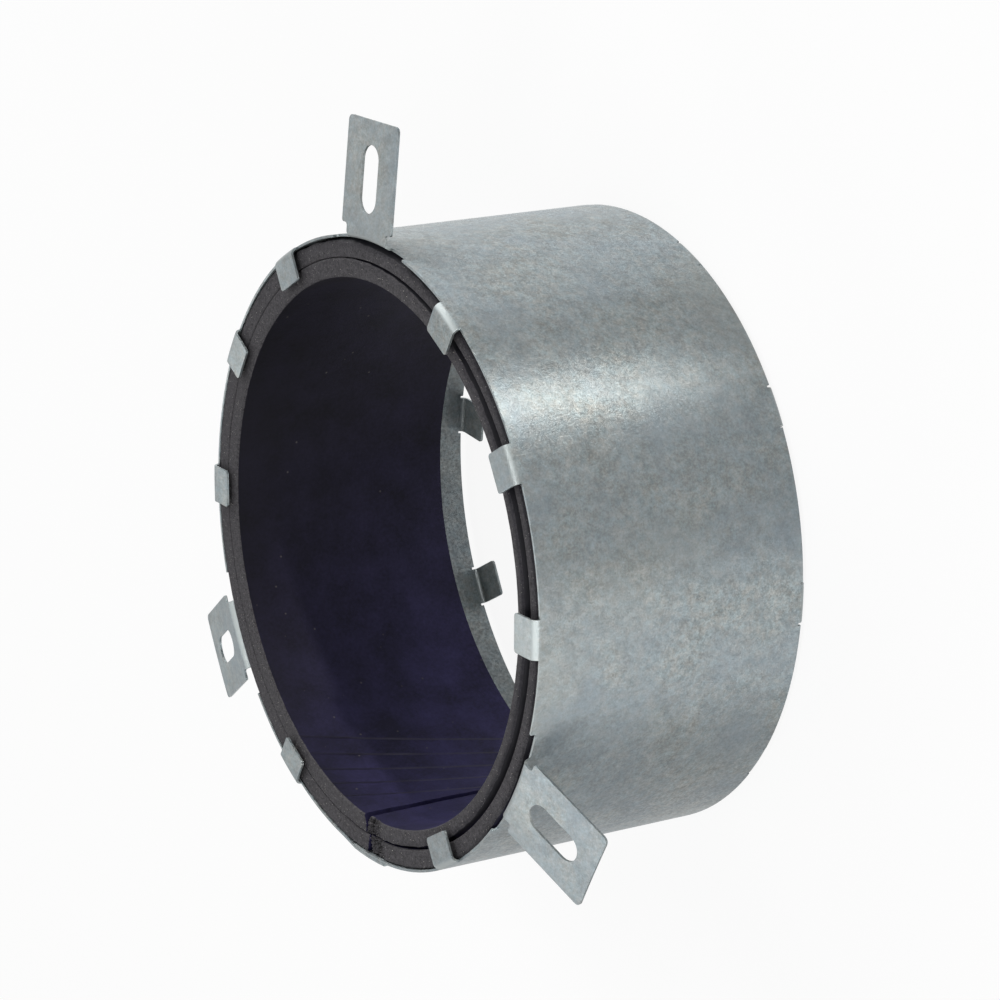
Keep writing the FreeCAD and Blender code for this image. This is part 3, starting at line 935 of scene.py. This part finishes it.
def shape_joint(obj, joint_angle, gap, opening, opens_inwards, inside, thickness, rear, width):
    """Gap at a strip's joint, closed on one face and open on the other, with a torn corner beside it."""
    joint = math.radians(joint_angle)
    tears = [0.0] * len(obj.data.vertices)
    for index, v in enumerate(obj.data.vertices):
        p = v.co / MM
        r = math.hypot(p.x, p.y)
        a = (math.atan2(p.y, p.x) - joint + math.pi) % (2 * math.pi) - math.pi
        beside = a * r
        near = max(0.0, 1.0 - abs(beside) / 7.0)
        if near == 0.0:
            continue
        side = 1.0 if beside > 0 else -1.0
        depth = max(0.0, min(1.0, (r - inside) / thickness))
        toward = 1.0 - depth if opens_inwards else depth
        up = (p.z - rear) / width
        wanted = 0.15 + opening * (0.55 + 0.45 * up) * toward ** 1.8
        shift = side * (wanted - gap) / 2 * near * near
        ragged = noise.noise(Vector((r * 0.8, p.z * 0.35, side * 9))) * 0.35 * near ** 3
        turn = (shift + ragged) / r
        torn = max(0.0, 1.0 - abs(beside - 2.6) / 3.8) * max(0.0, 1.0 - (1.0 - up) * width / 3.0)
        pits = abs(noise.noise(Vector((p.x * 2.6, p.y * 2.6, p.z * 0.6)))) + 0.15
        tears[index] = min(1.0, 1.6 * torn)
        c, s = math.cos(turn), math.sin(turn)
        v.co = Vector((p.x * c - p.y * s, p.x * s + p.y * c, p.z - torn * pits * 2.0)) * MM
    obj.data.attributes.new("torn", "FLOAT", "POINT").data.foreach_set("value", tears)


def round_front(obj, inside, outside, front, radius):
    """Rounds both edges of the front end a little."""
    for v in obj.data.vertices:
        p = v.co / MM
        if front - p.z > 1.3:
            continue
        r = math.hypot(p.x, p.y)
        edge = max(0.0, min(r - inside, outside - r))
        if edge < radius:
            v.co.z -= (radius - math.sqrt(radius * radius - (radius - edge) ** 2)) * MM


def wear_front(obj, inside, outside, angle, front):
    """Rounds off the outer edge of the front end, most at one angle, as the solid has it, and stores how
    much, for the painted shade in that groove.
    """
    tip = math.radians(angle + 180)
    centre = Vector((WEAR_SPREAD * math.cos(tip), WEAR_SPREAD * math.sin(tip)))
    worn_edge_shade = [0.0] * len(obj.data.vertices)
    for index, v in enumerate(obj.data.vertices):
        p = v.co / MM
        below = front - p.z
        if below > WEAR_DEPTH:
            continue
        cone = outside - WEAR_WIDTH + WEAR_SPREAD + WEAR_WIDTH * below / WEAR_DEPTH
        flat = Vector((p.x, p.y))
        r = flat.length
        way = flat / r
        toward = way.dot(centre)
        limit = toward + math.sqrt(cone * cone - centre.length_squared + toward * toward)
        limit -= 0.25 * noise.noise(Vector((p.x * 0.35, p.y * 0.35, outside)))
        if limit < outside:
            across = (r - inside) / (outside - inside)
            worn_edge_shade[index] = (outside - limit) / WEAR_WIDTH * max(0.0, min(1.0, across * 2.2 - 1.2))
            r = inside + (r - inside) * (limit - inside) / (outside - inside)
            v.co = Vector((way.x * r, way.y * r, p.z)) * MM
    obj.data.attributes.new("worn_edge_shade", "FLOAT", "POINT").data.foreach_set("value", worn_edge_shade)


class COLLAR_OT_strips(bpy.types.Operator):
    """Make the two intumescent strips"""
    bl_idname = "collar.strips"
    bl_label = "Strips"

    def execute(self, context):
        s = in_millimetres(context.scene.collar_strips)
        front = -in_millimetres(context.scene.collar_casing).front_drop
        tree = strip_tree()
        material = strip_material(s.face, s.cut)
        rear = front - s.width
        for index, (name, node, sink, worn, joint, gap, opening, inwards) in enumerate(STRIPS):
            inside = s.bore_radius + index * (s.thickness + s.play)
            middle = inside + s.thickness / 2
            half_gap = gap / 2 / middle
            obj = from_tree(name, tree, {
                "Middle Radius": middle * MM, "Thickness": s.thickness * MM, "Width": s.width * MM,
                "Middle Level": (rear + s.width / 2) * MM, "Start": math.radians(joint) + half_gap,
                "Sweep": 2 * math.pi - 2 * half_gap, "Skew": sink / 2 * MM,
                "Skew Drop": sink / 2 * MM, "Skew Angle": math.radians(SINK_ANGLE),
                "Roughness": 0.14 * MM, "Seed": float(s.seed + 3 * index), "Material": material})
            outside = inside + s.thickness
            round_front(obj, inside, outside, front, FRONT_ROUNDING)
            wear_front(obj, inside, outside, worn, front)
            shape_joint(obj, joint, gap, opening, inwards, inside, s.thickness, rear, s.width)
            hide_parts(node)
            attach(obj, "root")
        return {"FINISHED"}


def grain_tree():
    """Small grains scattered over the faces that look along the pipe."""
    tree = bpy.data.node_groups.new("mineral_grains", "GeometryNodeTree")
    tree.interface.new_socket(name="Geometry", in_out="OUTPUT", socket_type="NodeSocketGeometry")
    input_socket(tree, "Geometry", "NodeSocketGeometry")
    input_socket(tree, "Density", "NodeSocketFloat", 500000.0)
    input_socket(tree, "Smallest", "NodeSocketFloat", 0.05 * MM)
    input_socket(tree, "Largest", "NodeSocketFloat", 0.13 * MM)
    input_socket(tree, "Seed", "NodeSocketInt", 3)
    input_socket(tree, "Material", "NodeSocketMaterial")
    n = Nodes(tree)
    given = n.add("NodeGroupInput").outputs
    facing = n.add("GeometryNodeInputNormal").outputs[0]
    level = n.add("ShaderNodeSeparateXYZ", {0: facing}).outputs["Z"]
    ends = n.add("FunctionNodeCompare", {0: level, 1: 0.8}, operation="GREATER_THAN").outputs[0]
    spots = n.add("GeometryNodeDistributePointsOnFaces", {
        "Mesh": given["Geometry"], "Selection": ends, "Density": given["Density"], "Seed": given["Seed"]})
    grain = n.add("GeometryNodeMeshIcoSphere", {"Radius": 1.0, "Subdivisions": 1})
    turn = n.add("FunctionNodeRandomValue", {"Max": (6.28, 6.28, 6.28), "Seed": given["Seed"]},
                 data_type="FLOAT_VECTOR").outputs[0]
    size = n.add("FunctionNodeRandomValue", {
        2: given["Smallest"], 3: given["Largest"], "Seed": given["Seed"]},
                 data_type="FLOAT").outputs[1]
    flat = n.add("ShaderNodeCombineXYZ", {
        "X": size, "Y": n.math("MULTIPLY", size, 0.7), "Z": n.math("MULTIPLY", size, 0.45)}).outputs[0]
    grains = n.add("GeometryNodeInstanceOnPoints", {
        "Points": spots.outputs["Points"], "Instance": grain.outputs["Mesh"],
        "Rotation": turn, "Scale": flat})
    real = n.add("GeometryNodeRealizeInstances", {"Geometry": grains.outputs["Instances"]})
    painted = n.add("GeometryNodeSetMaterial", {
        "Geometry": real.outputs["Geometry"], "Material": given["Material"]})
    n.add("NodeGroupOutput", {"Geometry": painted.outputs["Geometry"]})
    return tree


class COLLAR_OT_grains(bpy.types.Operator):
    """Scatter mineral grains over the strips' front ends"""
    bl_idname = "collar.grains"
    bl_label = "Grains"

    def execute(self, context):
        s = context.scene.collar_strips
        tree = grain_tree()
        material = grain_material()
        for index, ring in enumerate(("inner", "outer")):
            base = bpy.data.objects[ring + "_strip_mat"].data.copy()
            obj = from_tree(ring + "_strip_grains", tree, {
                "Density": 500000.0, "Smallest": 0.05 * MM, "Largest": 0.13 * MM,
                "Seed": s.seed + index, "Material": material}, base)
            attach(obj, "root")
        return {"FINISHED"}


# Stage

def softbox(name, azimuth, elevation, distance, size, radiance):
    """Area lamp that faces the collar. Its radiance is given against white at 1."""
    lamp = bpy.data.lights.new(name, "AREA")
    lamp.shape = "RECTANGLE"
    lamp.size, lamp.size_y = size
    lamp.energy = radiance * math.pi * size[0] * size[1]
    obj = bpy.data.objects.new(name, lamp)
    a, e = math.radians(azimuth), math.radians(elevation)
    away = Vector((math.cos(a) * math.cos(e), math.sin(a) * math.cos(e), math.sin(e)))
    obj.location = away * distance + Vector((0, 0, -0.03))
    obj.rotation_mode = "QUATERNION"
    obj.rotation_quaternion = away.to_track_quat("Z", "Y")
    bpy.context.scene.collection.objects.link(obj)
    return obj


def spotlight(name, azimuth, elevation, distance, target, cone, power):
    """Small spot lamp aimed at a point, with a soft edge all the way in."""
    lamp = bpy.data.lights.new(name, "SPOT")
    lamp.energy = power
    lamp.color = KEY_COLOUR
    lamp.spot_size = math.radians(cone)
    lamp.spot_blend = 1.0
    lamp.shadow_soft_size = 0.008
    obj = bpy.data.objects.new(name, lamp)
    a, e = math.radians(azimuth), math.radians(elevation)
    obj.location = Vector((math.cos(a) * math.cos(e), math.sin(a) * math.cos(e), math.sin(e))) * distance
    obj.location.z -= 0.03
    obj.rotation_mode = "QUATERNION"
    obj.rotation_quaternion = (obj.location - Vector(target)).to_track_quat("Z", "Y")
    bpy.context.scene.collection.objects.link(obj)
    return obj


def seen_directly(n):
    """1 for rays that look at the background or mirror it, and 0 for light that falls on things."""
    path = n.add("ShaderNodeLightPath").outputs
    direct = n.math("ADD", path["Is Camera Ray"], path["Is Glossy Ray"], clamp=True)
    return n.math("ADD", direct, path["Is Transmission Ray"], clamp=True)


def make_floor(colour, level):
    """Pale floor that keeps the shadow, with most of its white from its own colour."""
    half = 2.5
    corners = [(-half, -half, level), (half, -half, level), (half, half, level), (-half, half, level)]
    obj = object_from("studio_floor", [tuple(v / MM for v in c) for c in corners], [(0, 1, 2, 3)])
    material = new_material("pale_floor")
    n = Nodes(material.node_tree)
    diffuse = n.add("ShaderNodeBsdfDiffuse", {"Color": rgba(colour)}).outputs[0]
    white = n.add("ShaderNodeEmission", {"Color": (1, 1, 1, 1), "Strength": 1.0}).outputs[0]
    path = n.add("ShaderNodeLightPath").outputs
    seen = n.math("MAXIMUM", path["Is Camera Ray"], path["Is Transmission Ray"])
    mirrored = n.math("MULTIPLY", path["Is Glossy Ray"], 0.90)
    factor = n.math("MAXIMUM", n.math("MULTIPLY", seen, 0.90), mirrored)
    mixed = n.add("ShaderNodeMixShader", {0: factor, 1: diffuse, 2: white})
    n.add("ShaderNodeOutputMaterial", {"Surface": mixed.outputs[0]})
    obj.data.materials.append(material)


def make_world(daylight):
    """Even daylight, and white wherever the background is seen."""
    world = bpy.data.worlds.new("studio")
    world.use_nodes = True
    world.node_tree.nodes.clear()
    n = Nodes(world.node_tree)
    strength = n.ramp(seen_directly(n), 0.0, 1.0, daylight, 1.0)
    light = n.add("ShaderNodeBackground", {"Color": (1, 1, 1, 1), "Strength": strength})
    n.add("ShaderNodeOutputWorld", {"Surface": light.outputs[0]})
    bpy.context.scene.world = world


def make_camera():
    """Camera at the photograph's place, rolled so that the pipe axis lies level."""
    camera = bpy.data.cameras.new("photo_camera")
    camera.sensor_width = 36.0
    camera.lens = CAMERA_LENS
    camera.clip_start = 0.01
    camera.clip_end = 20.0
    obj = bpy.data.objects.new("photo_camera", camera)
    turn = Matrix((CAMERA_RIGHT, CAMERA_UP, CAMERA_BACK)).transposed().to_4x4()
    obj.matrix_world = Matrix.Translation(CAMERA_PLACE) @ turn
    bpy.context.scene.collection.objects.link(obj)
    bpy.context.scene.camera = obj


class COLLAR_OT_stage(bpy.types.Operator):
    """Set up the floor, the lamps, the even light and the camera"""
    bl_idname = "collar.stage"
    bl_label = "Stage"

    def execute(self, context):
        s = context.scene.collar_stage
        context.scene.view_settings.view_transform = "Standard"
        make_world(s.daylight)
        make_floor(s.floor, cad_box[0].z - 0.0002)
        spotlight("key_spot", *KEY_SPOT)
        for name, azimuth, elevation, size, radiance in SOFTBOXES:
            softbox(name, azimuth, elevation, SOFTBOX_DISTANCE, size, radiance)
        make_camera()
        return {"FINISHED"}


class COLLAR_PT_panel(bpy.types.Panel):
    """Panel that lists the collar's pieces."""
    bl_idname = "COLLAR_PT_panel"
    bl_label = "Fire collar"
    bl_space_type = "VIEW_3D"
    bl_region_type = "UI"
    bl_category = "Fire collar"

    def draw(self, context):
        for operator in OPERATORS:
            self.layout.operator(operator.bl_idname)


OPERATORS = (COLLAR_OT_stage, COLLAR_OT_casing, COLLAR_OT_strips, COLLAR_OT_grains)
SETTINGS = (
    ("collar_casing", CollarCasingSettings),
    ("collar_strips", CollarStripSettings),
    ("collar_stage", CollarStageSettings),
)


def register():
    """Adds the settings, the operators and the panel."""
    for name, group in SETTINGS:
        bpy.utils.register_class(group)
        setattr(bpy.types.Scene, name, PointerProperty(type=group))
    for operator in OPERATORS:
        bpy.utils.register_class(operator)
    bpy.utils.register_class(COLLAR_PT_panel)


def unregister():
    """Takes them away again, in the other order."""
    bpy.utils.unregister_class(COLLAR_PT_panel)
    for operator in reversed(OPERATORS):
        bpy.utils.unregister_class(operator)
    for name, group in reversed(SETTINGS):
        delattr(bpy.types.Scene, name)
        bpy.utils.unregister_class(group)


def main():
    """Builds the stage and the pieces."""
    register()
    bpy.ops.collar.stage()
    bpy.ops.collar.casing()
    bpy.ops.collar.strips()
    bpy.ops.collar.grains()


if __name__ == "__main__":
    main()
